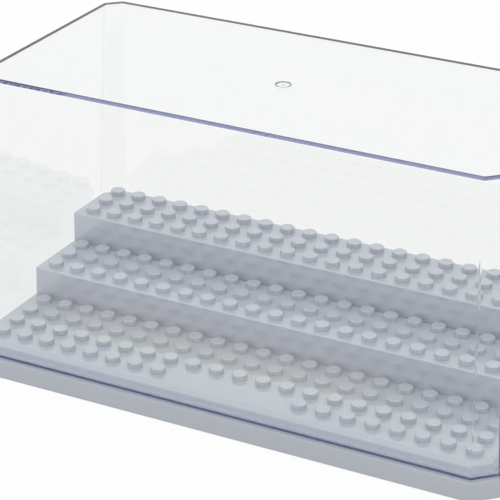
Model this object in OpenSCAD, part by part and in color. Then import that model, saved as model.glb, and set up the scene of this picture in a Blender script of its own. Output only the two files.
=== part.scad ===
/* [Stud grid] */
// Distance between neighbouring studs
stud_pitch = 8; // [7.5:0.5:10]
// Diameter of a stud
stud_d = 4.8; // [4.2:0.1:5]
// Height of a stud above its surface
stud_h = 1.7; // [1.4:0.1:2]
// Bevel round the top rim of a stud
stud_bevel = 0.25; // [0.1:0.05:0.4]
// Studs in each row, an odd number
stud_columns = 21; // [11:2:25]
// Rows of studs on the lowest tier
front_rows = 4; // [3:1:6]
// Rows of studs on each step
step_rows = 3; // [2:1:4]
// Studs left out in the middle of the front row, an odd number
front_gap_studs = 5; // [1:2:9]

/* [Base] */
// Distance from the outer stud centres to the edge of the raised deck
deck_margin = 6.25; // [5.5:0.25:8]
// Height of the raised deck above the ledge
deck_h = 4; // [3:0.5:6]
// Height of the rim, which is also the height of the ledge
rim_h = 6.1; // [5:0.1:9]
// Width of the ledge left outside the cover
ledge_w = 2; // [1:0.1:4]
// Size of the 45 degree corner cut on the deck
deck_corner = 4; // [3:0.25:6]
// Bevel round the top of the deck
deck_bevel = 0.65; // [0.3:0.05:1]
// Wall thickness of the base moulding
base_wall = 2; // [1.2:0.1:2.4]
// Thickness of the deck plate
deck_plate = 2.2; // [1.6:0.1:2.8]
// Rounding of the top edges of the rim
base_edge_r = 0.6; // [0.2:0.1:1]
// Thickness of the ribs under the deck
rib_t = 1.2; // [0.8:0.1:1.6]
// Ribs across the length of the base
ribs_along = 10; // [6:1:12]
// Ribs along the length of the base
ribs_across = 4; // [2:1:5]
// How far the ribs stay above the standing edge
rib_relief = 0.6; // [0.3:0.1:1.2]
// How far each side of the base and of a step leans in over its height
draft = 0.08; // [0.04:0.02:0.12]

/* [Steps] */
// Rise of each tier above the one in front
step_h = 10; // [8:0.5:14]
// Distance from the front stud row of a step to its front face
step_front = 4.6; // [3.6:0.1:4.8]
// Distance from the last stud row of the upper step to its rear face
step_rear = 3.8; // [3.3:0.1:4.6]
// Gap between the two steps
step_gap = 0.2; // [0.1:0.05:0.4]
// Gap between the ends of the steps and the cover
step_end_gap = 1.55; // [1.2:0.05:2]
// End wall of a step
step_wall = 1.8; // [1.2:0.1:2.4]
// Thickness of the top plate of a step
step_plate = 2; // [1.4:0.1:2.6]
// Size of the 45 degree cut on the rear corners of the upper step
step_corner = 5; // [4:0.25:5.25]
// Rounding of the edges of a step
step_edge_r = 0.5; // [0.2:0.1:0.8]
// Running clearance round a gripped stud
stud_fit = 0.05; // [0.02:0.01:0.1]
// Wall of the tubes that stand between the gripped studs
tube_wall = 0.75; // [0.6:0.05:1]

/* [Cover] */
// Height of the cover above the ledge
cover_h = 91.1; // [70:0.1:130]
// Wall thickness of the cover
cover_wall = 1.2; // [1:0.05:2]
// Thickness of the cover's top
cover_plate = 1.7; // [1.2:0.1:2.4]
// Clearance between the deck and the foot of the cover
cover_fit = 1.9; // [1.6:0.1:2.4]
// How far each side of the cover leans in over its height
cover_taper = 4.85; // [3:0.05:5.5]
// Size of the 45 degree corner cut at the top of the cover
cover_top_corner = 4.6; // [3.5:0.1:6]
// Rounding of the outer top edge of the cover
cover_edge_r = 0.5; // [0.3:0.1:1]
// Rounding inside the top of the cover
cover_inner_r = 0.4; // [0.2:0.1:0.8]
// Diameter of the moulding gate mark in the cover's top
gate_d = 5.4; // [4:0.2:7]
// Depth of the moulding gate mark
gate_depth = 0.35; // [0.2:0.05:0.6]
// Diameter of the gate stub left inside the mark
gate_stub_d = 2; // [1.4:0.1:2.6]

/* [Hidden] */

grey = [0.68, 0.71, 0.75];
clear = [0.93, 0.94, 0.98, 0.25];

// Overrun of every cut past the face it starts from
cut_over = 1;
// Depth by which one moulded feature runs into the body that carries it
fuse = 0.4;
// Share of an offset by which a 45 degree corner cut grows
corner_share = 2 - sqrt(2);
// Share of the gate mark's depth that the stub fills
stub_share = 2 / 3;
// Sides of every round form
round_fn = 48;

stud_r = stud_d / 2;
stud_rows = front_rows + 2 * step_rows;
grid_x = (stud_columns - 1) / 2 * stud_pitch;
grid_y = (stud_rows - 1) / 2 * stud_pitch;

// Plan outlines are [half length, half depth, corner cut]
deck_plan = [grid_x + deck_margin, grid_y + deck_margin, deck_corner];
cover_plan = grown(deck_plan, cover_fit + cover_wall);
rim_plan = grown(cover_plan, ledge_w);
cover_top_plan = [cover_plan[0] - cover_taper, cover_plan[1] - cover_taper, cover_top_corner];
deck_z = rim_h + deck_h;

// The steps stop short of the leaning cover walls at the height of the upper step
upper_top_z = deck_z + 2 * step_h;
step_half = deck_plan[0] + cover_fit - cover_taper * (upper_top_z - rim_h) / cover_h - step_end_gap;
lower_rear = stud_pitch - step_front - step_gap;
grip_r = stud_r + stud_fit;
tube_r = stud_pitch / sqrt(2) - grip_r;
tube_bore_r = tube_r - tube_wall;

// Plan outline offset outwards by d, with its corner cuts kept parallel
function grown(plan, d) = [plan[0] + d, plan[1] + d, plan[2] + d * corner_share];

// Plan outline at the top of a drafted side, its corner cuts kept as long
function drafted(plan) = [plan[0] - draft, plan[1] - draft, plan[2]];

// Distance from the centre to a corner cut of a plan outline
function corner_reach(plan) = (plan[0] + plan[1] - plan[2]) / sqrt(2);

// Upright section with half width lo at the foot and hi at height h, its top corners bevelled
module bevelled_section(lo, hi, h, bevel) {
    shoulder = hi + (lo - hi) * bevel / h;
    polygon([
        [-lo, 0], [lo, 0], [shoulder, h - bevel], [hi - bevel, h],
        [bevel - hi, h], [-shoulder, h - bevel]
    ]);
}

// Upright section with half width lo at the foot and hi at height h, its top corners rounded
module rounded_section(lo, hi, h, r) {
    lean = atan2(lo - hi, h);
    // Centre of the corner arc, r inside the leaning side and r below the top
    cx = hi + r * tan(lean) - r / cos(lean);
    union() {
        polygon([
            [-lo, 0], [lo, 0],
            [cx + r * cos(lean), h - r + r * sin(lean)], [cx, h],
            [-cx, h], [-cx - r * cos(lean), h - r + r * sin(lean)]
        ]);
        for (side = [-1, 1]) translate([side * cx, h - r]) circle(r = r, $fn = round_fn);
    }
}

// Straight wall pair: the section swept through a length of twice reach
module section_sweep(lo, hi, h, r, reach, bevelled) {
    rotate([90, 0, 0]) linear_extrude(2 * reach, center = true) {
        if (bevelled) bevelled_section(lo, hi, h, r);
        else rounded_section(lo, hi, h, r);
    }
}

// Eight-sided block that leans from the foot outline to the top outline, with its top edges
// rounded by the radius r, or bevelled by the leg r
module block(foot, top, h, r, bevelled = false) {
    reach = foot[0] + foot[1];
    intersection() {
        section_sweep(foot[0], top[0], h, r, reach, bevelled);
        rotate([0, 0, 90]) section_sweep(foot[1], top[1], h, r, reach, bevelled);
        corner_planes(foot, top, h, r, bevelled);
    }
}

// Space between the four corner cuts of a block, without its long and short sides
module corner_planes(foot, top, h, r, bevelled = false) {
    intersection_for(turn = [-45, 45])
        rotate([0, 0, turn])
            section_sweep(corner_reach(foot), corner_reach(top), h, r, foot[0] + foot[1], bevelled);
}

// Flat outline of an eight-sided plan
module outline(plan) {
    polygon([
        for (q = [[1, 1], [-1, 1], [-1, -1], [1, -1]])
        for (e = (q[0] * q[1] > 0 ? [0, 1] : [1, 0]))
        [q[0] * (plan[0] - e * plan[2]), q[1] * (plan[1] - (1 - e) * plan[2])]
    ]);
}

// One stud standing on z = 0
module stud() {
    rotate_extrude($fn = round_fn)
        polygon([
            [0, -fuse], [stud_r, -fuse], [stud_r, stud_h - stud_bevel],
            [stud_r - stud_bevel, stud_h], [0, stud_h]
        ]);
}

// Studs of the rows from first to last of the whole grid, in place on the plan
module stud_rows_of(first, last, skip_front = false, skip_rear = false) {
    middle = (stud_columns - 1) / 2;
    for (row = [first:last]) for (col = [0:stud_columns - 1]) {
        in_front_gap = skip_front && row == 0 && abs(col - middle) <= (front_gap_studs - 1) / 2;
        in_rear_corner = skip_rear && row == stud_rows - 1 && (col == 0 || col == stud_columns - 1);
        if (!in_front_gap && !in_rear_corner)
            translate([col * stud_pitch - grid_x, row * stud_pitch - grid_y, 0]) stud();
    }
}

// Ribs that stiffen the hollow under the deck
module deck_ribs(inner) {
    span = [2 * inner[0] + base_wall, 2 * inner[1] + base_wall];
    rib_h = deck_z - deck_plate - rib_relief + fuse;
    for (i = [1:ribs_along]) {
        at = -inner[0] + i * 2 * inner[0] / (ribs_along + 1);
        translate([at - rib_t / 2, -span[1] / 2, rib_relief]) cube([rib_t, span[1], rib_h]);
    }
    for (i = [1:ribs_across]) {
        at = -inner[1] + i * 2 * inner[1] / (ribs_across + 1);
        translate([-span[0] / 2, at - rib_t / 2, rib_relief]) cube([span[0], rib_t, rib_h]);
    }
}

// Grey base: rim with its ledge, raised deck and the studs of every row
module base_tray() {
    inner = grown(deck_plan, -base_wall);
    color(grey) union() {
        difference() {
            union() {
                block(rim_plan, drafted(rim_plan), rim_h, base_edge_r);
                block(deck_plan, drafted(deck_plan), deck_z, deck_bevel, bevelled = true);
            }
            // Hollow under the deck
            translate([0, 0, -cut_over])
                linear_extrude(deck_z - deck_plate + cut_over) outline(inner);
            // Groove between the deck's wall and the outer skirt of the rim
            translate([0, 0, -cut_over]) linear_extrude(rim_h - deck_plate + cut_over) difference() {
                outline(grown(rim_plan, -base_wall));
                outline(deck_plan);
            }
        }
        deck_ribs(inner);
        translate([0, 0, deck_z]) stud_rows_of(0, stud_rows - 1, skip_front = true, skip_rear = true);
    }
}

// Outline of a step's hollow, its rear corners cut where the step's own are
module hollow_outline(x, front, rear, cut) {
    polygon(cut > 0
        ? [[-x, front], [x, front], [x, rear - cut], [x - cut, rear], [cut - x, rear], [-x, rear - cut]]
        : [[-x, front], [x, front], [x, rear], [-x, rear]]);
}

// Outer form of a step between two faces, with its rear corners cut if rear_corner says so
module step_form(front_y, rear_y, h, rear_corner) {
    depth = rear_y - front_y;
    plan = [step_half, depth / 2, step_edge_r];
    // Twice as deep, so that only its rear corner cuts meet the step
    rear_plan = [step_half, depth, rear_corner];
    translate([0, (front_y + rear_y) / 2, 0]) intersection() {
        block(plan, drafted(plan), h, step_edge_r);
        if (rear_corner > 0)
            translate([0, -depth / 2, 0])
                corner_planes(rear_plan, drafted(rear_plan), h, step_edge_r);
    }
}

// Hollow step standing on the deck, its walls and tubes gripping the deck's studs
module step(first_row, rear, h, rear_corner = 0) {
    y0 = first_row * stud_pitch - grid_y;
    y1 = y0 + (step_rows - 1) * stud_pitch;
    wall_cut = rear_corner > 0 ? rear_corner + step_wall * (sqrt(2) - 1) - (rear - grip_r) : 0;
    translate([0, 0, deck_z]) {
        difference() {
            step_form(y0 - step_front, y1 + rear, h, rear_corner);
            translate([0, 0, -cut_over]) linear_extrude(h - step_plate + cut_over)
                hollow_outline(step_half - step_wall, y0 - grip_r, y1 + grip_r, wall_cut);
        }
        for (row = [0:step_rows - 2]) for (col = [0:stud_columns - 2])
            translate([(col + 1 / 2) * stud_pitch - grid_x, y0 + (row + 1 / 2) * stud_pitch, 0])
                grip_tube(h - step_plate);
        translate([0, 0, h]) stud_rows_of(first_row, first_row + step_rows - 1);
    }
}

// Tube between four studs, hanging from the top plate of a step
module grip_tube(h) {
    difference() {
        cylinder(r = tube_r, h = h + fuse, $fn = round_fn);
        translate([0, 0, -cut_over]) cylinder(r = tube_bore_r, h = h + cut_over, $fn = round_fn);
    }
}

// Grey lower step
module middle_step() {
    color(grey) step(front_rows, lower_rear, step_h);
}

// Grey upper step, its rear corners cut to follow the cover
module top_step() {
    color(grey) step(front_rows + step_rows, step_rear, 2 * step_h, step_corner);
}

// Clear cover: leaning thin walls, flat top, foot resting on the ledge
module cover() {
    foot_in = grown(cover_plan, -cover_wall);
    inner_h = cover_h - cover_plate;
    // The inner faces lean as the outer ones do, and are cut on past the foot
    ceiling = foot_in + (grown(cover_top_plan, -cover_wall) - foot_in) * inner_h / cover_h;
    mouth = foot_in + (foot_in - ceiling) * cut_over / inner_h;
    color(clear) translate([0, 0, rim_h]) difference() {
        block(cover_plan, cover_top_plan, cover_h, cover_edge_r);
        translate([0, 0, -cut_over]) block(mouth, ceiling, inner_h + cut_over, cover_inner_r);
        translate([0, 0, cover_h - gate_depth]) gate_mark();
    }
}

// Ring-shaped mark of the moulding gate, with the gate's stub left in its middle
module gate_mark() {
    difference() {
        cylinder(d = gate_d, h = gate_depth + cut_over, $fn = round_fn);
        translate([0, 0, -cut_over])
            cylinder(d = gate_stub_d, h = gate_depth * stub_share + cut_over, $fn = round_fn);
    }
}

base_tray();
middle_step();
top_step();
cover();
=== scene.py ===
"""Tiered display case: a grey studded base, two lift-off steps and a clear leaning cover.

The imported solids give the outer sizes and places. This script replaces them with finely edged
skins of the same form, dresses those in moulded plastic, and sets the studio round them.
"""

import functools
import logging
import math
from dataclasses import dataclass
from enum import Enum

import bpy
import numpy as np
from mathutils import Matrix, Vector


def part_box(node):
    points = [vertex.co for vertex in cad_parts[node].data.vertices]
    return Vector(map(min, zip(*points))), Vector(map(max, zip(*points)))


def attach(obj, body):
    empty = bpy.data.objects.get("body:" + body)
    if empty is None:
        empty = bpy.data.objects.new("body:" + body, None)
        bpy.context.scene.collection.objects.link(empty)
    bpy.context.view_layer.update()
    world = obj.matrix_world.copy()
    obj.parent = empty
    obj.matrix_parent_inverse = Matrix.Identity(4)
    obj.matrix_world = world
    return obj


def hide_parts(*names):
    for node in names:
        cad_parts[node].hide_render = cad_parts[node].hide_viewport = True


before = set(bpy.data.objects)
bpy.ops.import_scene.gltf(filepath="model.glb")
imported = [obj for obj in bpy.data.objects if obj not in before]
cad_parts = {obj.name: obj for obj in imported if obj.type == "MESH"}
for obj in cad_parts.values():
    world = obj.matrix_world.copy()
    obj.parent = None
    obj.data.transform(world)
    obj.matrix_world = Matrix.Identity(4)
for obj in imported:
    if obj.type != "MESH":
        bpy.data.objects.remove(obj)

LOG = logging.getLogger("display_case")
MM = 0.001
WHITE = (1.0, 1.0, 1.0, 1.0)

# Sides of the plan that base, steps and cover share, and the angle from one to the next
SIDES = 8
SIDE_TURN = 2 * math.pi / SIDES

# Where the last ring under a flat cap lies, as a share of the way out from the centre
CAP_SHARE = 0.85

# Faces across each rounded edge and corner of a grey shell and of a rib, and a rib's least fillet
SHELL_STEPS = 4
RIB_EDGE_STEPS = 2
RIB_CORNER_STEPS = 1
RIB_LEAST_FILLET = 0.02 * MM


class Slot(Enum):
    """Material slots of the part's record."""

    GREY = "grey_moulding"
    CLEAR = "clear_moulding"


class Body(Enum):
    """Bodies that the pieces ride on."""

    BASE = "base"
    LOWER_STEP = "lower_step"
    UPPER_STEP = "upper_step"
    LID = "lid"


# Skins: profiles carried round eight-sided plans


def plan_reach(half_x: float, half_y: float, rear_cut: float, front_cut: float) -> np.ndarray:
    """Distances of the eight sides of a corner-cut rectangle from its centre.

    The sides are numbered anticlockwise from +X. A corner cut of leg c on a rectangle of
    half sizes a and b lies (a + b - c) / sqrt(2) from the centre.

    Args:
        half_x: Half the length along X, in metres.
        half_y: Half the depth along Y, in metres.
        rear_cut: Leg of the two corner cuts at +Y.
        front_cut: Leg of the two corner cuts at -Y.

    Returns:
        The eight distances.
    """
    rear = (half_x + half_y - rear_cut) / math.sqrt(2)
    front = (half_x + half_y - front_cut) / math.sqrt(2)
    return np.array([half_x, rear, half_y, rear, half_x, front, half_y, front])


@dataclass(frozen=True)
class Turn:
    """One corner of a profile that is carried round an eight-sided plan.

    Attributes:
        reach: Distance of the corner from the centre, for each of the eight sides.
        height: Height of the corner.
        bend: Radius that rounds the corner, or 0 where it stays sharp.
        fillet: Radius of the plan's own corners at this reach.
    """

    reach: np.ndarray
    height: float
    bend: float
    fillet: float


@dataclass(frozen=True)
class Rings:
    """Closed rings of points, each with the slope of the skin before and after it.

    Attributes:
        reach: Rings x sides, distance from the centre.
        height: Rings x sides.
        before: Rings x sides, slope angle of the outward normal on the stretch that ends here.
        after: The same on the stretch that starts here.
        fillet: Radius of the plan's corners, one for each ring.
    """

    reach: np.ndarray
    height: np.ndarray
    before: np.ndarray
    after: np.ndarray
    fillet: np.ndarray


def rounded_rings(turns: list[Turn], bend_steps: int, least_fillet: float) -> Rings:
    """Rounds the corners of a profile and returns its rings.

    On each side the profile is a chain of straight stretches. The outward normal of a stretch
    that goes (dr, dz) has the slope angle atan2(-dr, dz). An arc of radius r that turns the
    normal from n1 to n2 has its centre at P - (n1 + n2) r / (1 + n1.n2), and its points are
    centre + r n, with r negative in a hollow corner.

    Args:
        turns: The profile's corners in order along the skin.
        bend_steps: Faces across each rounded corner.
        least_fillet: Smallest radius that a plan corner may shrink to.

    Returns:
        The rings of the rounded profile.
    """
    reach = np.array([t.reach for t in turns])
    height = np.array([np.full(SIDES, t.height) for t in turns])
    slope = np.arctan2(-np.diff(reach, axis=0), np.diff(height, axis=0))
    slope = np.concatenate([slope[:1], slope, slope[-1:]])
    rows = []
    for j, turn in enumerate(turns):
        first, last = slope[j], slope[j + 1]
        swing = (last - first + math.pi) % (2 * math.pi) - math.pi
        if turn.bend == 0 or j in (0, len(turns) - 1):
            rows.append((reach[j], height[j], first, last, turn.fillet))
            continue
        r = turn.bend * np.sign(swing)
        last = first + swing
        size = r / (1 + np.cos(swing))
        centre_r = reach[j] - (np.cos(first) + np.cos(last)) * size
        centre_z = height[j] - (np.sin(first) + np.sin(last)) * size
        for share in np.linspace(0, 1, bend_steps + 1):
            angle = first + share * swing
            ring_r = centre_r + r * np.cos(angle)
            fillet = turn.fillet + float(np.mean(ring_r - reach[j]))
            rows.append((ring_r, centre_z + r * np.sin(angle), angle, angle, fillet))
    fillets = np.maximum([row[4] for row in rows], least_fillet)
    columns = [np.array([row[i] for row in rows]) for i in range(4)]
    return Rings(*columns, fillet=fillets)


@dataclass
class Skin:
    """Grid of points with a normal for every corner of every face, ready to become a mesh.

    Attributes:
        points: Rings x columns x 3.
        before: Normals of the stretch that ends at each ring, rings x columns x 3.
        after: Normals of the stretch that starts at each ring, rings x columns x 3.
    """

    points: np.ndarray
    before: np.ndarray
    after: np.ndarray

    def joined(self, other: "Skin") -> "Skin":
        """Returns this skin carried on by another one with as many columns."""
        pairs = ((self.points, other.points), (self.before, other.before), (self.after, other.after))
        return Skin(*(np.concatenate(pair) for pair in pairs))


def sloped(heading: np.ndarray, slope: np.ndarray) -> np.ndarray:
    """Unit vectors (cos s cos h, cos s sin h, sin s) of headings h and slopes s."""
    level = np.cos(slope)
    return np.stack([level * np.cos(heading), level * np.sin(heading), np.sin(slope)], axis=-1)


def carried_round(rings: Rings, centre: Vector, corner_steps: int) -> Skin:
    """Carries rings round the eight-sided plan, with an arc at each of its corners.

    Neighbouring sides with normals n1 and n2 and reaches r1 and r2 meet at the point
    V = r1 n1 + t (r2 - r1 cos a) / sin a, where t is n1 turned a quarter and a is 45 degrees.
    The arc there has its centre at V - (n1 + n2) f / (1 + cos a).

    Args:
        rings: The rings of the profile.
        centre: Centre of the plan.
        corner_steps: Faces across each corner of the plan.

    Returns:
        The skin, with (corner_steps + 1) x 8 columns.
    """
    turn = np.arange(SIDES) * SIDE_TURN
    n1 = np.stack([np.cos(turn), np.sin(turn)], axis=-1)
    n2 = np.roll(n1, -1, axis=0)
    tangent = np.stack([-n1[:, 1], n1[:, 0]], axis=-1)
    r1, r2 = rings.reach, np.roll(rings.reach, -1, axis=1)
    along = (r2 - r1 * math.cos(SIDE_TURN)) / math.sin(SIDE_TURN)
    vertex = r1[..., None] * n1 + along[..., None] * tangent
    arc_centre = vertex - (n1 + n2) * rings.fillet[:, None, None] / (1 + math.cos(SIDE_TURN))
    share = np.linspace(0, 1, corner_steps + 1)
    angle = turn[:, None] + share * SIDE_TURN
    direction = np.stack([np.cos(angle), np.sin(angle)], axis=-1)
    flat = arc_centre[:, :, None, :] + rings.fillet[:, None, None, None] * direction
    count = len(rings.fillet)

    def spread(values: np.ndarray) -> np.ndarray:
        """Runs a value of each side evenly into that of the next side across their corner."""
        following = np.roll(values, -1, axis=1)
        return (values[..., None] + (following - values)[..., None] * share).reshape(count, -1)

    heading = np.broadcast_to(angle.reshape(-1), (count, angle.size))
    points = np.concatenate([flat.reshape(count, -1, 2), spread(rings.height)[..., None]], axis=-1)
    return Skin(
        points + np.array(centre),
        sloped(heading, spread(rings.before)),
        sloped(heading, spread(rings.after)),
    )


def turned(radius: np.ndarray, height: np.ndarray, heading: np.ndarray, sharp: np.ndarray) -> Skin:
    """Turns a profile about a vertical axis.

    Args:
        radius: Radius of each ring.
        height: Height of each ring.
        heading: Headings of the columns, in radians.
        sharp: For each ring, whether its edge is sharp. A soft one has the mean slope.

    Returns:
        The skin of revolution about the Z axis.
    """
    slope = np.unwrap(np.arctan2(-np.diff(radius), np.diff(height)))
    before = np.concatenate([slope[:1], slope])
    after = np.concatenate([slope, slope[-1:]])
    mean = (before + after) / 2
    before, after = np.where(sharp, before, mean), np.where(sharp, after, mean)
    columns = np.broadcast_to(heading, (len(radius), len(heading)))
    flat = radius[:, None, None] * np.stack([np.cos(columns), np.sin(columns)], axis=-1)
    rise = np.broadcast_to(height[:, None], columns.shape)[..., None]
    return Skin(
        np.concatenate([flat, rise], axis=-1),
        sloped(columns, before[:, None] * np.ones_like(columns)),
        sloped(columns, after[:, None] * np.ones_like(columns)),
    )


def bar_skin(low: np.ndarray, high: np.ndarray, bend: float) -> Skin:
    """Upright bar whose top and foot edges are rounded, and whose corners are cut.

    Args:
        low: Its lowest corner.
        high: Its highest corner.
        bend: Radius of the rounding, and leg of the corner cuts.

    Returns:
        The skin from the underside round the outside to the top.
    """
    middle, half = (low + high) / 2, (high - low) / 2
    reach = plan_reach(half[0], half[1], bend, bend)
    inset = reach - bend
    turns = [
        Turn(inset, low[2], 0, 0),
        Turn(reach, low[2], bend, bend),
        Turn(reach, high[2], bend, bend),
        Turn(inset, high[2], 0, 0),
    ]
    rings = rounded_rings(turns, RIB_EDGE_STEPS, RIB_LEAST_FILLET)
    return carried_round(rings, Vector((middle[0], middle[1], 0)), RIB_CORNER_STEPS)


class MeshMaker:
    """Turns skins into mesh objects, with closed ends and exact normals."""

    @staticmethod
    def faces_of(rings: int, columns: int) -> np.ndarray:
        """Four-cornered faces of a grid that closes round its columns.

        Args:
            rings: Rings of the grid.
            columns: Points in a ring.

        Returns:
            Faces x 4, indices of the points.
        """
        ring = np.arange(rings - 1)[:, None] * columns
        column = np.arange(columns)[None, :]
        right = (column + 1) % columns
        above = ring + columns
        return np.stack([ring + column, ring + right, above + right, above + column], -1).reshape(-1, 4)

    @staticmethod
    def corner_normals(skin: Skin) -> np.ndarray:
        """Normals of the corners of faces_of, in the same order.

        Args:
            skin: The skin that has the normals.

        Returns:
            Corners x 3.
        """
        low, high = skin.after[:-1], skin.before[1:]
        corners = [low, np.roll(low, -1, axis=1), np.roll(high, -1, axis=1), high]
        return np.stack(corners, axis=2).reshape(-1, 3)

    @staticmethod
    def cap_normal(loop: np.ndarray) -> np.ndarray:
        """Normal of a flat closed loop: the sum of its corners' cross products, made a unit long.

        Args:
            loop: Points x 3, anticlockwise as seen from outside.

        Returns:
            The unit normal.
        """
        middle = loop - loop.mean(axis=0)
        area = np.cross(middle, np.roll(middle, -1, axis=0)).sum(axis=0)
        return area / np.linalg.norm(area)

    @classmethod
    def build(cls, name: str, skins: list[Skin], copies: np.ndarray | None = None) -> bpy.types.Object:
        """Makes one object of closed skins, repeated at every offset in copies.

        A flat face closes each skin's first ring, and another one its last ring.

        Args:
            name: Name of the object and its mesh.
            skins: The skins, each open at its two ends.
            copies: Offsets, copies x 3, or None for one copy in place.

        Returns:
            The linked object, at the origin.
        """
        offsets = np.zeros((1, 3)) if copies is None else copies
        points, corners, sizes, normals, first = [], [], [], [], 0
        for skin in skins:
            rings, columns = skin.points.shape[:2]
            quads = cls.faces_of(rings, columns)
            start = np.arange(columns)[::-1]
            end = (rings - 1) * columns + np.arange(columns)
            ring_corners = np.concatenate([quads.reshape(-1), start, end])
            loops = (skin.points[0][::-1], skin.points[-1])
            caps = [np.tile(cls.cap_normal(loop), (columns, 1)) for loop in loops]
            flat = skin.points.reshape(-1, 3)
            steps = first + np.arange(len(offsets))[:, None] * len(flat)
            points.append((flat[None] + offsets[:, None]).reshape(-1, 3))
            corners.append((ring_corners[None] + steps).reshape(-1))
            sizes.append(np.tile(np.r_[np.full(len(quads), 4), columns, columns], len(offsets)))
            normals.append(np.tile(np.concatenate([cls.corner_normals(skin), *caps]), (len(offsets), 1)))
            first += len(flat) * len(offsets)
        return cls.linked(name, *(np.concatenate(part) for part in (points, corners, sizes, normals)))

    @staticmethod
    def linked(
        name: str, points: np.ndarray, corners: np.ndarray, sizes: np.ndarray, normals: np.ndarray
    ) -> bpy.types.Object:
        """Puts arrays into a mesh and links its object.

        Args:
            name: Name of the object and its mesh.
            points: Points x 3.
            corners: Index of the point at every face corner.
            sizes: Corners of every face.
            normals: Normal at every face corner.

        Returns:
            The linked object.
        """
        mesh = bpy.data.meshes.new(name)
        mesh.vertices.add(len(points))
        mesh.vertices.foreach_set("co", points.astype(np.float32).ravel())
        mesh.loops.add(len(corners))
        mesh.loops.foreach_set("vertex_index", corners.astype(np.int32))
        mesh.polygons.add(len(sizes))
        starts = np.concatenate([[0], np.cumsum(sizes)[:-1]])
        mesh.polygons.foreach_set("loop_start", starts.astype(np.int32))
        mesh.update(calc_edges=True)
        mesh.polygons.foreach_set("use_smooth", np.ones(len(sizes), dtype=bool))
        mesh.normals_split_custom_set(normals.astype(np.float32).tolist())
        mesh.validate()
        made = bpy.data.objects.new(name, mesh)
        bpy.context.scene.collection.objects.link(made)
        return made


# Finishes


# What an input of a node is fed: a socket to link it to, or a value of its own
Fed = bpy.types.NodeSocket | float | tuple[float, ...]


class NodeBoard:
    """Small helper that lays nodes on a tree and feeds them."""

    def __init__(self, tree: bpy.types.NodeTree) -> None:
        """Takes the tree and clears it."""
        self.tree = tree
        tree.nodes.clear()

    def add(
        self, kind: str, label: str = "", feeds: dict[int | str, Fed] | None = None, **settings: object
    ) -> bpy.types.bpy_prop_collection:
        """Adds a node with its settings and feeds its inputs.

        Args:
            kind: Type of the node.
            label: What it does.
            feeds: For each input, by name or number, the socket linked to it or its own value.
            **settings: Settings of the node itself.

        Returns:
            The node's outputs.
        """
        node = self.tree.nodes.new(kind)
        node.label = label
        for key, value in settings.items():
            setattr(node, key, value)
        for key, value in (feeds or {}).items():
            if isinstance(value, bpy.types.NodeSocket):
                self.tree.links.new(value, node.inputs[key])
            else:
                node.inputs[key].default_value = value
        return node.outputs

    def math(self, operation: str, label: str, *feeds: Fed) -> bpy.types.NodeSocket:
        """Adds a Math node and returns its value."""
        return self.add("ShaderNodeMath", label, dict(enumerate(feeds)), operation=operation)["Value"]

    def vector(self, operation: str, label: str, *feeds: Fed) -> bpy.types.NodeSocket:
        """Adds a Vector Math node of two vectors and returns its vector."""
        numbered = dict(enumerate(feeds))
        return self.add("ShaderNodeVectorMath", label, numbered, operation=operation)["Vector"]

    def scaled(self, label: str, value: Fed, scale: Fed) -> bpy.types.NodeSocket:
        """Adds a node that multiplies a vector or colour by a number, and returns its vector."""
        feeds = {0: value, "Scale": scale}
        return self.add("ShaderNodeVectorMath", label, feeds, operation="SCALE")["Vector"]

    def span(
        self, label: str, value: Fed, start: Fed, end: Fed, kind: str = "SMOOTHSTEP"
    ) -> bpy.types.NodeSocket:
        """Adds a node that rises from 0 where the value is at start to 1 where it is at end.

        Args:
            label: What the stretch stands for.
            value: The value that is looked at.
            start: Where the stretch starts.
            end: Where it ends. It may lie below start.
            kind: How it rises between them.

        Returns:
            The level from 0 to 1.
        """
        feeds = {"Value": value, "From Min": start, "From Max": end}
        return self.add("ShaderNodeMapRange", label, feeds, interpolation_type=kind)["Result"]

    def effect(
        self, tree: bpy.types.NodeTree, feeds: dict[int | str, Fed]
    ) -> bpy.types.bpy_prop_collection:
        """Adds an effect's node group and returns its outputs."""
        return self.add("ShaderNodeGroup", tree.name, feeds, node_tree=tree)

    @classmethod
    def of_group(
        cls, name: str, numbers: dict[str, float], results: dict[str, str]
    ) -> tuple["NodeBoard", bpy.types.bpy_prop_collection]:
        """Starts a node group with the input Vector and number inputs.

        Args:
            name: Name of the group.
            numbers: Its number inputs, each with its default value.
            results: Its outputs, each with its kind, Float or Color.

        Returns:
            The group's board, and its inputs as sockets to link from.
        """
        tree = bpy.data.node_groups.new(name, "ShaderNodeTree")
        tree.interface.new_socket("Vector", in_out="INPUT", socket_type="NodeSocketVector")
        for label, value in numbers.items():
            made = tree.interface.new_socket(label, in_out="INPUT", socket_type="NodeSocketFloat")
            made.default_value = value
        for label, kind in results.items():
            tree.interface.new_socket(label, in_out="OUTPUT", socket_type="NodeSocket" + kind)
        board = cls(tree)
        return board, board.add("NodeGroupInput")


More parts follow.
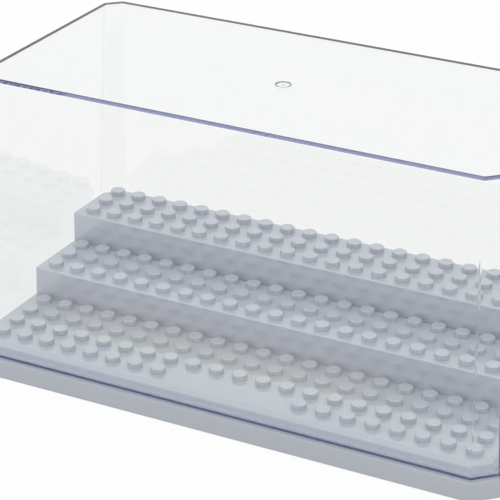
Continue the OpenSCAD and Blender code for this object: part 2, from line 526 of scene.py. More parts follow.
@dataclass(frozen=True)
class HeightBand:
    """Level band of a piece, shared by both finishes.

    Attributes:
        softness: Height over which the band fades away at each side.
    """

    softness: float = 0.1 * MM

    @functools.cache
    def group(self) -> bpy.types.NodeTree:
        """Builds the node group once: 1 within the half height of the middle, fading to 0 beyond.

        Returns:
            A group with the inputs Vector, Middle, Half Height and Softness, in metres, and the
            output Mask.
        """
        numbers = {"Middle": 0.0, "Half Height": 0.0, "Softness": self.softness}
        board, given = NodeBoard.of_group("height_band", numbers, {"Mask": "Float"})
        height = board.add("ShaderNodeSeparateXYZ", "height", {"Vector": given["Vector"]})["Z"]
        away = board.math("SUBTRACT", "from the middle", height, given["Middle"])
        distance = board.math("ABSOLUTE", "distance", away)
        outer_end = board.math("ADD", "outer end", given["Half Height"], given["Softness"])
        mask = board.span("mask", distance, outer_end, given["Half Height"])
        board.add("NodeGroupOutput", feeds={"Mask": mask})
        return board.tree

    def mask(self, board: NodeBoard, place: Fed, middle: float, half: float) -> bpy.types.NodeSocket:
        """Puts the group on a board and returns the mask of one band."""
        feeds = {"Vector": place, "Middle": middle, "Half Height": half}
        return board.effect(self.group(), feeds)["Mask"]


@dataclass(frozen=True)
class SoftEnd:
    """Soft end of an area, along one axis.

    Attributes:
        label: Which end it is.
        axis: The axis, X, Y or Z.
        outer: Where the area has faded to nothing.
        inner: Where it is at its full strength.
    """

    label: str
    axis: str
    outer: float
    inner: float


@dataclass(frozen=True)
class PastelSheen:
    """Faint pastel bands painted on the lower middle of the front wall, as a painted sheen.

    Attributes:
        ends: Soft ends of the painted area.
        low: Height of the lowest band.
        high: Height of the highest band.
        drift: How far the bands wander in height.
        drift_scale: Scale of the noise that makes them wander.
        drift_detail: Its detail.
        bands: Place of each band, from 0 at low to 1 at high, and its tint.
    """

    ends: tuple[SoftEnd, ...] = (
        SoftEnd("front wall", "Y", -41.3 * MM, -42.0 * MM),
        SoftEnd("left end", "X", -75.0 * MM, -30.0 * MM),
        SoftEnd("right end", "X", 85.0 * MM, 20.0 * MM),
        SoftEnd("top end", "Z", 46.0 * MM, 30.0 * MM),
        SoftEnd("foot end", "Z", 11.0 * MM, 24.0 * MM),
    )
    low: float = 16.0 * MM
    high: float = 46.0 * MM
    drift: float = 12.0 * MM
    drift_scale: float = 25.0
    drift_detail: float = 1.0
    bands: tuple[tuple[float, tuple[float, float, float]], ...] = (
        (0.0, (0.85, 0.90, 1.0)),
        (0.22, (0.82, 0.98, 1.0)),
        (0.42, (1.0, 0.98, 0.55)),
        (0.58, (1.0, 0.85, 0.50)),
        (0.74, (1.0, 0.70, 0.72)),
        (1.0, (0.90, 0.85, 0.95)),
    )

    @functools.cache
    def group(self) -> bpy.types.NodeTree:
        """Builds the node group once: bands by height, with a mask that is the ends' product.

        Returns:
            A group with the input Vector and the outputs Colour and Mask.
        """
        board, given = NodeBoard.of_group("pastel_sheen", {}, {"Colour": "Color", "Mask": "Float"})
        parts = board.add("ShaderNodeSeparateXYZ", "place", {"Vector": given["Vector"]})
        spans = [board.span(end.label, parts[end.axis], end.outer, end.inner) for end in self.ends]
        mask = functools.reduce(functools.partial(board.math, "MULTIPLY", "both"), spans)
        wander = {"Vector": given["Vector"], "Scale": self.drift_scale, "Detail": self.drift_detail}
        noise = board.add("ShaderNodeTexNoise", "drift of the bands", wander)["Fac"]
        level = board.math("MULTIPLY_ADD", "height of the bands", noise, self.drift, parts["Z"])
        place = board.span("place in the bands", level, self.low, self.high, "LINEAR")
        tint = board.add("ShaderNodeValToRGB", "pastel bands", {"Fac": place})["Color"]
        stops = tint.node.color_ramp.elements
        while len(stops) < len(self.bands):
            stops.new(0.5)
        for stop, (position, colour) in zip(stops, self.bands):
            stop.position = position
            stop.color = (*colour, 1.0)
        board.add("NodeGroupOutput", feeds={"Colour": tint, "Mask": mask})
        return board.tree


@dataclass(frozen=True)
class MouldedGrain:
    """Fine grain and slow flow of an injection moulding.

    Attributes:
        grain_scale: Scale of the fine grain.
        grain_detail: Its detail.
        flow_scale: Scale of the melt's flow.
        flow_detail: Its detail.
        flow_distortion: How far the flow is drawn out.
        shade_spread: How much the shade follows the flow.
        haze_start: Level of the flow above which the face is duller.
        haze_end: Level at which it is at its dullest.
    """

    grain_scale: float = 4000.0
    grain_detail: float = 3.0
    flow_scale: float = 40.0
    flow_detail: float = 2.0
    flow_distortion: float = 0.6
    shade_spread: float = 0.02
    haze_start: float = 0.35
    haze_end: float = 0.7

    @functools.cache
    def group(self) -> bpy.types.NodeTree:
        """Builds the node group once: the shade is 1 + spread x (flow - 1/2).

        Returns:
            A group with the inputs Vector, Grain Scale, Flow Scale and Shade Spread, and the
            outputs Shade, which is about 1, Haze, from 0 to 1, and Height.
        """
        numbers = {
            "Grain Scale": self.grain_scale,
            "Flow Scale": self.flow_scale,
            "Shade Spread": self.shade_spread,
        }
        results = {"Shade": "Float", "Haze": "Float", "Height": "Float"}
        board, given = NodeBoard.of_group("moulded_grain", numbers, results)
        fine = {"Vector": given["Vector"], "Scale": given["Grain Scale"], "Detail": self.grain_detail}
        grain = board.add("ShaderNodeTexNoise", "fine grain", fine)["Fac"]
        slow = {
            "Vector": given["Vector"],
            "Scale": given["Flow Scale"],
            "Detail": self.flow_detail,
            "Distortion": self.flow_distortion,
        }
        flow = board.add("ShaderNodeTexNoise", "flow of the melt", slow)["Fac"]
        centred = board.math("SUBTRACT", "flow about 0", flow, 0.5)
        shade = board.math("MULTIPLY_ADD", "shade about 1", centred, given["Shade Spread"], 1.0)
        haze = board.span("haze", flow, self.haze_start, self.haze_end)
        board.add("NodeGroupOutput", feeds={"Shade": shade, "Haze": haze, "Height": grain})
        return board.tree


@dataclass(frozen=True)
class GreyMoulding:
    """Glossy opaque moulding of the base and the steps.

    Attributes:
        colour: Base colour, linear.
        painted_rim_shade: What the rim keeps of that colour, as painted shade on the rim's face.
        rim_height: Height of the rim.
        painted_deck_light: How much lighter painted light makes the deck's upright side.
        deck_middle: Middle of that side.
        deck_half: Half its height.
        roughness: Roughness of the polished mould's faces.
        haze: How much the roughness rises where the flow left the face duller.
        grain_height: Height of the fine grain.
        grain_strength: Share of that height that the light feels.
        ior: Refractive index, high for a strong gloss.
    """

    colour: tuple[float, float, float] = (0.442, 0.476, 0.543)
    painted_rim_shade: float = 0.76
    rim_height: float = 6.1 * MM
    painted_deck_light: float = 1.3
    deck_middle: float = 7.8 * MM
    deck_half: float = 1.5 * MM
    roughness: float = 0.02
    haze: float = 0.01
    grain_height: float = 0.0015 * MM
    grain_strength: float = 0.04
    ior: float = 2.35

    @functools.cache
    def material(self) -> bpy.types.Material:
        """Builds the material once.

        Returns:
            The material.
        """
        made = bpy.data.materials.new("grey_moulding_gloss")
        made.use_nodes = True
        board = NodeBoard(made.node_tree)
        place = board.add("ShaderNodeTexCoord")["Object"]
        grain = board.effect(MouldedGrain().group(), {"Vector": place})
        shade = grain["Shade"]
        # Bands by height: painted shade darkens the rim, painted light brightens the deck's upright side.
        bands = (
            (self.rim_height / 2, self.rim_height / 2, self.painted_rim_shade),
            (self.deck_middle, self.deck_half, self.painted_deck_light),
        )
        for middle, half, level in bands:
            mask = HeightBand().mask(board, place, middle, half)
            factor = board.math("MULTIPLY_ADD", "shade of the band", mask, level - 1, 1.0)
            shade = board.math("MULTIPLY", "shade", shade, factor)
        relief = {
            "Height": grain["Height"],
            "Strength": self.grain_strength,
            "Distance": self.grain_height,
        }
        shader = board.add("ShaderNodeBsdfPrincipled", feeds={
            "Base Color": board.scaled("tone of the grey", self.colour, shade),
            "Roughness": board.math("MULTIPLY_ADD", "roughness", grain["Haze"], self.haze, self.roughness),
            "Normal": board.add("ShaderNodeBump", "fine grain", relief)["Normal"],
            "IOR": self.ior,
        })
        board.add("ShaderNodeOutputMaterial", feeds={"Surface": shader["BSDF"]})
        return made


@dataclass(frozen=True)
class ClearMoulding:
    """Polished clear moulding of the cover, faintly violet through its depth.

    Attributes:
        colour: Tint at each face, linear.
        shade_spread: How much that tint follows the flow of the melt.
        painted_foot_shade: Dark colour painted at the foot as painted shade.
        foot_height: Middle of that painted shade at the foot.
        foot_half: Half the height of that painted shade.
        depth_colour: Colour that a long way through the plastic keeps.
        depth_density: How fast the way through the plastic takes that colour, per metre.
        ior: Refractive index.
        shadow_colour: What light that falls through the cover keeps.
        glow: Strength of the faint painted glow of the pastel sheen, the top's edge and the foot.
        sheen_tint_share: How far the painted sheen's area takes on its pastel tints.
        rim_glow: Colour of the painted glow at the top's edge.
        rim_middle: Middle height of the top's edge.
        rim_half: Half its height.
        seat_glow: Colour of the painted glow just above the foot.
        seat_middle: Middle height of that light.
        seat_half: Half its height.
        painted_gate_shade: Dark colour painted round the gate mark's groove as painted shade.
        gate_place: Middle of the gate mark on the cover's top.
        gate_radius: Mean radius of that groove.
        gate_half: Half its width.
        gate_depth_weight: How many times a depth below the top counts as distance from the mark.
    """

    colour: tuple[float, float, float] = (0.979, 0.986, 0.974)
    shade_spread: float = 0.01
    painted_foot_shade: tuple[float, float, float] = (0.045, 0.045, 0.15)
    foot_height: float = 6.1 * MM
    foot_half: float = 0.3 * MM
    depth_colour: tuple[float, float, float] = (0.06, 0.07, 0.37)
    depth_density: float = 15.5
    ior: float = 1.51
    shadow_colour: tuple[float, float, float] = (0.965, 0.975, 0.975)
    glow: float = 0.015
    sheen_tint_share: float = 0.1
    rim_glow: tuple[float, float, float] = (0.9, 1.1, 2.4)
    rim_middle: float = 96.45 * MM
    rim_half: float = 0.6 * MM
    seat_glow: tuple[float, float, float] = (3.0, 3.2, 6.0)
    seat_middle: float = 7.1 * MM
    seat_half: float = 0.2 * MM
    painted_gate_shade: tuple[float, float, float] = (0.08, 0.08, 0.11)
    gate_place: tuple[float, float, float] = (0.8 * MM, -3.4 * MM, 97.2 * MM)
    gate_radius: float = 2.25 * MM
    gate_half: float = 0.25 * MM
    gate_depth_weight: float = 3.0

    def tinted(
        self, board: NodeBoard, place: Fed, tints: bpy.types.bpy_prop_collection
    ) -> bpy.types.NodeSocket:
        """Adds the face tint, the painted sheen's tint and the painted shade at foot and groove.

        Args:
            board: Board of the material.
            place: Object coordinates.
            tints: Outputs of the painted pastel sheen.

        Returns:
            The colour.
        """
        grain = board.effect(MouldedGrain().group(), {"Vector": place, "Shade Spread": self.shade_spread})
        from_gate = board.vector("SUBTRACT", "way from the gate", place, self.gate_place)
        weight = (1.0, 1.0, self.gate_depth_weight)
        steep = board.vector("MULTIPLY", "depth counts more", from_gate, weight)
        far = board.add("ShaderNodeVectorMath", "distance from the gate", {0: steep}, operation="LENGTH")
        upright = board.add("ShaderNodeCombineXYZ", "distance as a height", {"Z": far["Value"]})["Vector"]
        groove = HeightBand().mask(board, upright, self.gate_radius, self.gate_half)
        foot = HeightBand().mask(board, place, self.foot_height, self.foot_half)
        painted_sheen_share = board.math("MULTIPLY", "share of the tints", tints["Mask"], self.sheen_tint_share)
        colour = board.scaled("tone of the clear", self.colour, grain["Shade"])
        layers = (
            # Painted sheen: the pastel bands also tint the face.
            ("pastel tints", "MULTIPLY", painted_sheen_share, tints["Colour"]),
            # Painted shade: the cover's foot is coloured dark navy.
            ("tinted foot", "MIX", foot, (*self.painted_foot_shade, 1.0)),
            # Painted shade: a dark ring round the gate's groove.
            ("tinted gate mark", "MULTIPLY", groove, (*self.painted_gate_shade, 1.0)),
        )
        for label, blend, factor, tint in layers:
            feeds = {"Factor": factor, "A": colour, "B": tint}
            colour = board.add("ShaderNodeMix", label, feeds, data_type="RGBA", blend_type=blend)["Result"]
        return colour

    def painted_glows(
        self, board: NodeBoard, place: Fed, tints: bpy.types.bpy_prop_collection
    ) -> bpy.types.NodeSocket:
        """Adds the faint painted glow of the pastel sheen, the top's edge and the foot.

        Args:
            board: Board of the material.
            place: Object coordinates.
            tints: Outputs of the painted pastel sheen.

        Returns:
            The painted glow's colour.
        """
        # Painted sheen: the pastel bands glow faintly, though the cover is no lamp.
        light = board.scaled("painted pastel glow", tints["Colour"], tints["Mask"])
        # Painted glows at the top's edge and just above the foot.
        edges = (
            ("light at the top's edge", self.rim_glow, self.rim_middle, self.rim_half),
            ("light at the foot", self.seat_glow, self.seat_middle, self.seat_half),
        )
        for label, shine, middle, half in edges:
            mask = HeightBand().mask(board, place, middle, half)
            light = board.vector("ADD", "scattered light", light, board.scaled(label, shine, mask))
        return light

    @functools.cache
    def material(self) -> bpy.types.Material:
        """Builds the material once.

        Returns:
            The material, through which shadow rays and soft light pass straight.
        """
        made = bpy.data.materials.new("clear_moulding_polished")
        made.use_nodes = True
        board = NodeBoard(made.node_tree)
        place = board.add("ShaderNodeTexCoord")["Object"]
        tints = board.effect(PastelSheen().group(), {"Vector": place})
        shader = board.add("ShaderNodeBsdfPrincipled", feeds={
            "Base Color": self.tinted(board, place, tints),
            "Roughness": 0.0,
            "IOR": self.ior,
            "Transmission Weight": 1.0,
            # The emission is painted glow; no lamp lights these bands.
            "Emission Color": self.painted_glows(board, place, tints),
            "Emission Strength": self.glow,
        })
        falling = {"Color": (*self.shadow_colour, 1.0)}
        through = board.add("ShaderNodeBsdfTransparent", "light that falls through", falling)
        path = board.add("ShaderNodeLightPath")
        soft = board.math("MAXIMUM", "shadow or soft light", path["Is Shadow Ray"], path["Is Diffuse Ray"])
        surface = {"Fac": soft, 1: shader["BSDF"], 2: through["BSDF"]}
        absorbed = {"Color": (*self.depth_colour, 1.0), "Density": self.depth_density}
        board.add("ShaderNodeOutputMaterial", feeds={
            "Surface": board.add("ShaderNodeMixShader", feeds=surface)["Shader"],
            "Volume": board.add("ShaderNodeVolumeAbsorption", feeds=absorbed)["Volume"],
        })
        return made


# Sub-assemblies


def node_box(name: str) -> tuple[np.ndarray, np.ndarray]:
    """Lowest and highest corners of a solid as arrays."""
    low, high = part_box(name)
    return np.array(low), np.array(high)


def dressed(
    piece: bpy.types.Object, finish: GreyMoulding | ClearMoulding, body: Body, node: str
) -> bpy.types.Object:
    """Gives a piece its finish and its body, and hides the solid that it stands for.

    Args:
        piece: The piece.
        finish: What it is made of.
        body: Body that it rides on.
        node: Solid that it replaces.

    Returns:
        The same piece.
    """
    piece.data.materials.append(finish.material())
    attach(piece, body.value)
    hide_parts(node)
    LOG.info("%s: %d faces on %s", piece.name, len(piece.data.polygons), body.value)
    return piece


@dataclass(frozen=True)
class StudGrid:
    """The grid of studs that the base and the steps share.

    Attributes:
        pitch: Distance between neighbouring studs.
        radius: Radius of a stud.
        height: Height of a stud.
        bevel: Bevel round a stud's top.
        sunk: How far a stud's foot runs into the plate that carries it.
        columns: Studs in a row.
        front_rows: Rows on the base in front of the lower step.
        step_rows: Rows on each step.
        front_gap: Studs left out in the middle of the front row.
        facets: Faces round a stud.
    """

    pitch: float = 8 * MM
    radius: float = 2.4 * MM
    height: float = 1.7 * MM
    bevel: float = 0.25 * MM
    sunk: float = 0.2 * MM
    columns: int = 21
    front_rows: int = 4
    step_rows: int = 3
    front_gap: int = 5
    facets: int = 28

    @property
    def rows(self) -> int:
        """Rows of the whole grid."""
        return self.front_rows + 2 * self.step_rows

    def row_y(self, row: np.ndarray | int) -> np.ndarray | float:
        """Place along Y of a row's studs."""
        return (row - (self.rows - 1) / 2) * self.pitch

    def places(self, first: int, count: int, height: float, whole: bool = True) -> np.ndarray:
        """Feet of the studs in count rows from first.

        Args:
            first: First row.
            count: Number of rows.
            height: Height of the plate that carries them.
            whole: False leaves out the front row's gap and the two rear corner studs.

        Returns:
            Studs x 3.
        """
        rows, columns = np.arange(first, first + count), np.arange(self.columns)
        row, column = np.meshgrid(rows, columns, indexing="ij")
        middle = (self.columns - 1) // 2
        from_middle = np.abs(column - middle)
        kept = np.ones(row.shape, dtype=bool)
        if not whole:
            kept &= ~((row == 0) & (from_middle <= self.front_gap // 2))
            kept &= ~((row == self.rows - 1) & (from_middle == middle))
        x = (column[kept] - (self.columns - 1) / 2) * self.pitch
        return np.stack([x, self.row_y(row[kept]), np.full(x.shape, height)], axis=-1)

    def stud(self) -> Skin:
        """One stud: an upright side and a soft bevel, turned about its axis.

        Returns:
            Its skin, with the face of the plate that carries it at height 0.
        """
        radius = np.array([self.radius, self.radius, self.radius - self.bevel])
        height = np.array([-self.sunk, self.height - self.bevel, self.height])
        heading = np.arange(self.facets) * 2 * math.pi / self.facets
        skin = turned(radius, height, heading, np.array([True, False, True]))
        upright = sloped(heading, np.zeros(self.facets))
        skin.before[1] = skin.after[1] = upright
        skin.before[2] = np.array([0.0, 0.0, 1.0])
        return skin


@dataclass(frozen=True)
class StuddedBase:
    """Base tray: rim with its ledge, raised deck, studs and the ribs under the deck.

    Attributes:
        grid: The studs.
        finish: What it is made of.
        ledge: Width of the ledge outside the cover.
        cover_room: Cover's wall and its clearance to the deck.
        rim_height: Height of the rim.
        rim_corner: Leg of the corner cuts of the plan from which the rim stands out evenly.
        deck_corner: Leg of the deck's corner cuts.
        bevel: Bevel round the deck's top.
        wall: Wall of the moulding.
        plate: Thickness of the deck.
        draft: How far a side leans in over its height.
        edge: Rounding of the rim's top edges.
        bevel_edge: Rounding of the bevel's own edges.
        foot_edge: Rounding of the standing edges.
        seat: Rounding in the hollow between the ledge and the deck.
        fillet: Rounding of the upright corners.
        least_fillet: Smallest rounding of an upright corner.
        rib: Thickness of the ribs.
        rib_relief: How far the ribs stay above the floor.
        ribs_along: Ribs side by side along the length.
        ribs_across: Ribs side by side across the depth.
    """

    grid: StudGrid
    finish: GreyMoulding
    ledge: float = 2 * MM
    cover_room: float = 3.1 * MM
    rim_height: float = 6.1 * MM
    rim_corner: float = 4.8 * MM
    deck_corner: float = 5.2 * MM
    bevel: float = 0.65 * MM
    wall: float = 2 * MM
    plate: float = 2.2 * MM
    draft: float = 0.08 * MM
    edge: float = 0.6 * MM
    bevel_edge: float = 0.06 * MM
    foot_edge: float = 0.2 * MM
    seat: float = 0.25 * MM
    fillet: float = 0.8 * MM
    least_fillet: float = 0.1 * MM
    rib: float = 1.2 * MM
    rib_relief: float = 0.6 * MM
    ribs_along: int = 10
    ribs_across: int = 4

    def plan(self, corner: float) -> np.ndarray:
        """Plan of a deck with the given corner cuts.

        Args:
            corner: Leg of the corner cuts.

        Returns:
            Reach of its eight sides.
        """
        _, high = node_box("base_tray")
        inset = self.ledge + self.cover_room
        return plan_reach(high[0] - inset, high[1] - inset, corner, corner)

    @property
    def deck_reach(self) -> np.ndarray:
        """Reach of the deck's eight sides."""
        return self.plan(self.deck_corner)

    @property
    def deck_top(self) -> float:
        """Height of the deck."""
        return node_box("base_tray")[1][2] - self.grid.height

    def shell(self) -> bpy.types.Object:
        """One closed skin from the hollow under the deck round the rim to the deck's top.

        Returns:
            The linked object.
        """
        deck, top = self.deck_reach, self.deck_top
        rim = self.plan(self.rim_corner) + self.ledge + self.cover_room
        inner, skirt = deck - self.wall, rim - self.wall
        ceiling, groove = top - self.plate, self.rim_height - self.plate
        side, f = deck - self.draft, self.fillet
        turns = [
            Turn(inner * CAP_SHARE, ceiling, 0, f),
            Turn(inner, ceiling, 0, f),
            Turn(inner, 0.0, self.foot_edge, f),
            Turn(deck, 0.0, self.foot_edge, f),
            Turn(deck, groove, 0, f),
            Turn(skirt, groove, 0, f),
            Turn(skirt, 0.0, self.foot_edge, f),
            Turn(rim, 0.0, self.foot_edge, f),
            Turn(rim - self.draft, self.rim_height, self.edge, f),
            Turn(side, self.rim_height, self.seat, f),
            Turn(side, top - self.bevel, self.bevel_edge, f),
            Turn(side - self.bevel, top, self.bevel_edge, f / 2),
            Turn(deck * CAP_SHARE, top, 0, f),
        ]
        rings = rounded_rings(turns, SHELL_STEPS, self.least_fillet)
        return MeshMaker.build("base_shell", [carried_round(rings, Vector((0, 0, 0)), SHELL_STEPS)])

    def ribs(self) -> bpy.types.Object:
        """Crossed ribs that run from the deck down to just above the floor.

        Returns:
            The linked object.
        """
        inner = self.deck_reach - self.wall / 2
        top = self.deck_top - self.plate / 2
        half = np.array([inner[0], inner[2]])
        bars = []
        for axis, count in ((0, self.ribs_along), (1, self.ribs_across)):
            room = half[axis] - self.wall / 2
            for place in -room + np.arange(1, count + 1) * 2 * room / (count + 1):
                low = np.array([-half[0], -half[1], self.rib_relief])
                high = np.array([half[0], half[1], top])
                low[axis], high[axis] = place - self.rib / 2, place + self.rib / 2
                bars.append(bar_skin(low, high, self.foot_edge))
        return MeshMaker.build("base_ribs", bars)

    def studs(self) -> bpy.types.Object:
        """Studs of the rows in front of the steps and of those under them."""
        places = self.grid.places(0, self.grid.rows, self.deck_top, whole=False)
        return MeshMaker.build("base_studs", [self.grid.stud()], places)

    def build(self) -> None:
        """Makes and dresses the base's pieces."""
        for piece in (self.shell(), self.ribs(), self.studs()):
            dressed(piece, self.finish, Body.BASE, "base_tray")


@dataclass(frozen=True)
class LiftOffStep:
    """Hollow step that grips the deck's studs between its walls and tubes.

    Attributes:
        grid: The studs.
        finish: What it is made of.
        label: Name of the step in its pieces' names.
        node: Solid that it stands for.
        body: Body that it is.
        first_row: First of the stud rows that it covers.
        rear_cut: Leg of its rear corner cuts.
        end_wall: Thickness of its end walls.
        plate: Thickness of its top.
        grip_fit: Clearance round a gripped stud.
        tube_wall: Wall of a tube.
        draft: How far a side leans in over its height.
        edge: Rounding of its top edges, and leg of its front corner cuts.
        foot_edge: Rounding of its standing edges.
        fillet: Rounding of its upright corners.
        least_fillet: Smallest rounding of an upright corner.
        tube_facets: Faces round a tube.
    """

    grid: StudGrid
    finish: GreyMoulding
    label: str
    node: str
    body: Body
    first_row: int
    rear_cut: float
    end_wall: float = 1.8 * MM
    plate: float = 2 * MM
    grip_fit: float = 0.05 * MM
    tube_wall: float = 0.75 * MM
    draft: float = 0.08 * MM
    edge: float = 0.5 * MM
    foot_edge: float = 0.15 * MM
    fillet: float = 0.4 * MM
    least_fillet: float = 0.05 * MM
    tube_facets: int = 20

    @property
    def box(self) -> tuple[np.ndarray, np.ndarray]:
        """Lowest and highest corners without the studs."""
        low, high = node_box(self.node)
        return low, high - np.array([0, 0, self.grid.height])

    @property
    def grip_radius(self) -> float:
        """Radius of the room for a gripped stud."""
        return self.grid.radius + self.grip_fit

    def hollow(self) -> np.ndarray:
        """Plan of the room inside, from stud row to stud row and from end wall to end wall.

        Returns:
            Reach of its eight sides.
        """
        low, high = self.box
        middle, half = (low + high) / 2, (high - low) / 2
        row_low = self.grid.row_y(self.first_row) - self.grip_radius
        row_high = self.grid.row_y(self.first_row + self.grid.step_rows - 1) + self.grip_radius
        wall_cut = self.rear_cut + self.end_wall * (math.sqrt(2) - 1) - (high[1] - row_high)
        rear_cut = wall_cut if self.rear_cut > self.edge else self.foot_edge
        reach = plan_reach(half[0] - self.end_wall, 0.0, 0.0, 0.0)
        reach[2], reach[6] = row_high - middle[1], middle[1] - row_low
        reach[[1, 3]] = (reach[0] + reach[2] - rear_cut) / math.sqrt(2)
        reach[[5, 7]] = (reach[0] + reach[6] - self.foot_edge) / math.sqrt(2)
        return reach

    def shell(self) -> bpy.types.Object:
        """One closed skin from the hollow's ceiling round the walls to the top plate.

        Returns:
            The linked object.
        """
        low, high = self.box
        middle, half = (low + high) / 2, (high - low) / 2
        outer, inner = plan_reach(half[0], half[1], self.rear_cut, self.edge), self.hollow()
        ceiling = high[2] - self.plate
        turns = [
            Turn(inner * CAP_SHARE, ceiling, 0, self.foot_edge),
            Turn(inner, ceiling, 0, self.foot_edge),
            Turn(inner, low[2], self.foot_edge, self.foot_edge),
            Turn(outer, low[2], self.foot_edge, self.fillet),
            Turn(outer - self.draft, high[2], self.edge, self.fillet),
            Turn(outer * CAP_SHARE, high[2], 0, self.fillet),
        ]
        rings = rounded_rings(turns, SHELL_STEPS, self.least_fillet)
        centre = Vector((middle[0], middle[1], 0))
        return MeshMaker.build(f"{self.label}_shell", [carried_round(rings, centre, SHELL_STEPS)])

    def tubes(self) -> bpy.types.Object:
        """Tubes between the gripped studs: a skin down the bore and up the outside.

        Returns:
            The linked object.
        """
        low, high = self.box
        outer = self.grid.pitch / math.sqrt(2) - self.grip_radius
        bore, top = outer - self.tube_wall, high[2] - self.plate / 2
        radius = np.array([bore, bore, outer, outer])
        height = np.array([top, low[2], low[2], top])
        heading = np.arange(self.tube_facets) * 2 * math.pi / self.tube_facets
        tube = turned(radius, height, heading, np.ones(len(radius), dtype=bool))
        across = np.arange(self.grid.columns - 1) - (self.grid.columns - 2) / 2
        rows = self.first_row + np.arange(self.grid.step_rows - 1) + 0.5
        x, y = np.meshgrid(across * self.grid.pitch, self.grid.row_y(rows))
        places = np.stack([x.ravel(), y.ravel(), np.zeros(x.size)], axis=-1)
        return MeshMaker.build(f"{self.label}_tubes", [tube], places)

    def studs(self) -> bpy.types.Object:
        """Studs on the step's top plate."""
        places = self.grid.places(self.first_row, self.grid.step_rows, self.box[1][2])
        return MeshMaker.build(f"{self.label}_studs", [self.grid.stud()], places)

    def build(self) -> None:
        """Makes and dresses the step's pieces."""
        for piece in (self.shell(), self.tubes(), self.studs()):
            dressed(piece, self.finish, self.body, self.node)


@dataclass(frozen=True)
class ClearCover:
    """Leaning clear cover with a flat top and the mark of its moulding gate.

    Attributes:
        finish: What it is made of.
        wall: Thickness of the walls.
        plate: Thickness of the top.
        taper: How far each side leans in over the height.
        foot_corner: Leg of the corner cuts at the foot.
        top_corner: Leg of the corner cuts at the top.
        edge: Rounding of the outer top edge.
        inner_edge: Rounding inside the top.
        foot_edge: Rounding of the standing edges.
        lift: Hairline of air between the foot and the ledge.
        fillet: Rounding of the upright outer corners.
        inner_fillet: Rounding of the upright inner corners.
        least_fillet: Smallest rounding of an upright corner.
        steps: Faces across each rounded edge and corner.
        gate_radius: Outer radius of the groove round the gate mark.
        gate_groove: Width of that groove.
        gate_depth: Its depth.
        stub_radius: Radius of the stub in the gate mark.
        stub_rise: How far the stub stands above the mark, up to the cover's top.
    """

    finish: ClearMoulding
    wall: float = 1.2 * MM
    plate: float = 1.42 * MM
    taper: float = 4.85 * MM
    foot_corner: float = 6.616 * MM
    top_corner: float = 4.6 * MM
    edge: float = 0.5 * MM
    inner_edge: float = 0.12 * MM
    foot_edge: float = 0.12 * MM
    lift: float = 0.02 * MM
    fillet: float = 1.2 * MM
    inner_fillet: float = 0.2 * MM
    least_fillet: float = 0.1 * MM
    steps: int = 5
    gate_radius: float = 2.45 * MM
    gate_groove: float = 0.4 * MM
    gate_depth: float = 0.35 * MM
    stub_radius: float = 0.5 * MM
    stub_rise: float = 0.1 * MM

    def walls(self) -> Skin:
        """Walls and top: inside from the ceiling to the foot, then outside up to the top.

        Returns:
            The skin, open round the gate mark.
        """
        low, high = node_box("cover")
        foot_z, top_z = low[2] + self.lift, high[2]
        foot = plan_reach(high[0], high[1], self.foot_corner, self.foot_corner)
        top = plan_reach(high[0] - self.taper, high[1] - self.taper, self.top_corner, self.top_corner)
        ceiling_z = top_z - self.plate
        share = (ceiling_z - foot_z) / (top_z - foot_z)
        foot_in = foot - self.wall
        ceiling = foot_in + (top - foot) * share
        turns = [
            Turn(ceiling * CAP_SHARE, ceiling_z, 0, self.inner_fillet),
            Turn(ceiling, ceiling_z, self.inner_edge, self.inner_fillet),
            Turn(foot_in, foot_z, self.foot_edge, self.inner_fillet),
            Turn(foot, foot_z, self.foot_edge, self.fillet),
            Turn(top, top_z, self.edge, self.fillet),
            Turn(top * CAP_SHARE, top_z, 0, self.fillet),
        ]
        rings = rounded_rings(turns, self.steps, self.least_fillet)
        return carried_round(rings, Vector((0, 0, 0)), self.steps)

    def gate(self, top_z: float) -> Skin:
        """Mark of the moulding gate: a groove, a disc inside it and a stub in the middle.

        The columns are evenly spread and turned by half of one, so that those of each corner of
        the walls stand about that corner's own heading.

        Args:
            top_z: Height of the cover's top.

        Returns:
            The skin from the groove's outer edge to the stub, with as many columns as the walls.
        """
        columns = SIDES * (self.steps + 1)
        heading = np.linspace(0, 2 * math.pi, columns, endpoint=False) + SIDE_TURN / 2 / (self.steps + 1)
        mark, stub = self.gate_radius - self.gate_groove, self.stub_radius
        floor_z, mark_z = top_z - self.gate_depth, top_z - self.stub_rise
        radius = np.array([self.gate_radius, self.gate_radius, mark, mark, stub, stub, stub / 2])
        height = np.array([top_z, floor_z, floor_z, mark_z, mark_z, top_z, top_z])
        skin = turned(radius, height, heading, np.ones(len(radius), dtype=bool))
        skin.points += np.array([*self.finish.gate_place[:2], 0.0])
        skin.before[0] = np.array([0.0, 0.0, 1.0])
        return skin

    def build(self) -> None:
        """Makes and dresses the cover."""
        skin = self.walls().joined(self.gate(node_box("cover")[1][2]))
        piece = MeshMaker.build("cover_shell", [skin])
        dressed(piece, self.finish, Body.LID, "cover")


# Studio


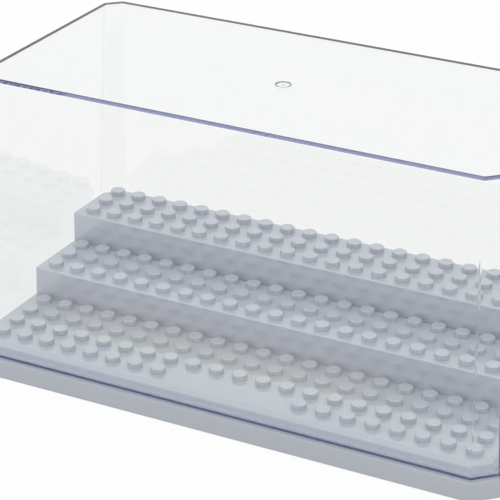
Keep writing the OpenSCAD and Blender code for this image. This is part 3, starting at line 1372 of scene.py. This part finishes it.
@dataclass(frozen=True)
class Viewpoint:
    """Camera at the photograph's angle.

    Attributes:
        place: Where it stands, in metres.
        azimuth: How far it looks round from +Y, in degrees.
        elevation: How far it looks down, in degrees.
        roll: How far it is turned about its own axis, in degrees.
        focal: Focal length in widths of the picture.
        sensor: Width of the sensor in millimetres.
        near: Nearest distance that it shows, in metres.
    """

    place: tuple[float, float, float] = (0.276306, -0.562699, 0.331937)
    azimuth: float = 27.0877
    elevation: float = 24.8766
    roll: float = 0.5912
    focal: float = 4.47423
    sensor: float = 36.0
    near: float = 0.01

    def build(self) -> None:
        """Creates the camera and makes it the scene's."""
        data = bpy.data.cameras.new("viewpoint")
        data.sensor_width = self.sensor
        data.lens = self.focal * self.sensor
        data.clip_start = self.near
        camera = bpy.data.objects.new("viewpoint", data)
        turn = Matrix.Rotation(math.radians(self.azimuth), 4, "Z")
        tip = Matrix.Rotation(math.radians(90 - self.elevation), 4, "X")
        roll = Matrix.Rotation(math.radians(self.roll), 4, "Z")
        camera.matrix_world = Matrix.Translation(self.place) @ turn @ tip @ roll
        bpy.context.scene.collection.objects.link(camera)
        bpy.context.scene.camera = camera


@dataclass(frozen=True)
class SoftBox:
    """One soft lamp.

    Attributes:
        name: Its name.
        place: Where it hangs.
        size: Width of its square face.
        power: Its power in watts.
        aim: What it points at.
    """

    name: str
    place: tuple[float, float, float]
    size: float
    power: float
    aim: tuple[float, float, float] = (0.0, 0.0, 0.02)

    def build(self) -> None:
        """Creates the lamp, pointing at its aim."""
        data = bpy.data.lights.new(self.name, "AREA")
        data.size = self.size
        data.energy = self.power
        lamp = bpy.data.objects.new(self.name, data)
        lamp.location = self.place
        ray = Vector(self.aim) - Vector(self.place)
        lamp.rotation_euler = ray.to_track_quat("-Z", "Y").to_euler()
        bpy.context.scene.collection.objects.link(lamp)


@dataclass(frozen=True)
class Studio:
    """Pale floor, white surroundings and a soft lamp.

    Attributes:
        surround: Level of the soft white light from all round.
        floor_tone: Colour of the floor.
        shadow_share: Share of the floor that takes light and shadow, where the rest is white.
        floor_size: Half width of the floor.
        floor_drop: How far the floor lies below the standing face.
        lamp: The lamp.
        bounces: How many times light may bounce or pass through a face.
        shadow_bounces: How many faces it may pass on its way to a lamp.
    """

    surround: float = 1.0
    floor_tone: float = 0.85
    shadow_share: float = 0.06
    floor_size: float = 6.0
    floor_drop: float = 0.02 * MM
    lamp: SoftBox = SoftBox("overhead", (0.1, -0.3, 1.4), size=1.0, power=1.5)
    bounces: int = 160
    shadow_bounces: int = 24

    def world(self) -> None:
        """Plain white all round, for the light and for what the camera, gloss and glass see."""
        world = bpy.data.worlds.new("studio")
        world.use_nodes = True
        board = NodeBoard(world.node_tree)
        back = board.add("ShaderNodeBackground", feeds={"Color": WHITE, "Strength": self.surround})
        board.add("ShaderNodeOutputWorld", feeds={"Surface": back["Background"]})
        bpy.context.scene.world = world

    def floor(self) -> None:
        """Plain pale floor, white to the camera, gloss and glass but for a trace of shadow."""
        made = bpy.data.materials.new("pale_floor")
        made.use_nodes = True
        board = NodeBoard(made.node_tree)
        tone = self.floor_tone
        paint = board.add("ShaderNodeBsdfDiffuse", feeds={"Color": (tone, tone, tone, 1.0)})
        white = board.add("ShaderNodeEmission", feeds={"Strength": 1.0})
        path = board.add("ShaderNodeLightPath")
        seen = board.math("MAXIMUM", "camera or gloss", path["Is Camera Ray"], path["Is Glossy Ray"])
        seen = board.math("MAXIMUM", "or glass", seen, path["Is Transmission Ray"])
        share = board.math("MULTIPLY", "white share", seen, 1 - self.shadow_share)
        both = {"Fac": share, 1: paint["BSDF"], 2: white["Emission"]}
        surface = board.add("ShaderNodeMixShader", feeds=both)["Shader"]
        board.add("ShaderNodeOutputMaterial", feeds={"Surface": surface})
        s = self.floor_size
        mesh = bpy.data.meshes.new("floor")
        mesh.from_pydata([(-s, -s, 0), (s, -s, 0), (s, s, 0), (-s, s, 0)], [], [(0, 1, 2, 3)])
        mesh.materials.append(made)
        floor = bpy.data.objects.new("floor", mesh)
        floor.location.z = -self.floor_drop
        bpy.context.scene.collection.objects.link(floor)

    def build(self) -> None:
        """Sets up the whole studio."""
        self.world()
        self.floor()
        self.lamp.build()
        scene = bpy.context.scene
        scene.view_settings.view_transform = "Standard"
        scene.cycles.max_bounces = self.bounces
        scene.cycles.glossy_bounces = self.bounces
        scene.cycles.transmission_bounces = self.bounces
        scene.cycles.transparent_max_bounces = self.shadow_bounces


def main() -> None:
    """Builds the case in order, from the base to the cover, and then the studio."""
    logging.basicConfig(level=logging.INFO, format="%(name)s: %(message)s")
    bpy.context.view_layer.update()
    grid, grey = StudGrid(), GreyMoulding()
    Viewpoint().build()
    StuddedBase(grid, grey).build()
    LiftOffStep(
        grid, grey, "lower_step", "middle_step", Body.LOWER_STEP,
        first_row=grid.front_rows, rear_cut=0.5 * MM,
    ).build()
    LiftOffStep(
        grid, grey, "upper_step", "top_step", Body.UPPER_STEP,
        first_row=grid.front_rows + grid.step_rows, rear_cut=5 * MM,
    ).build()
    ClearCover(ClearMoulding()).build()
    Studio().build()


if __name__ == "__main__":
    main()
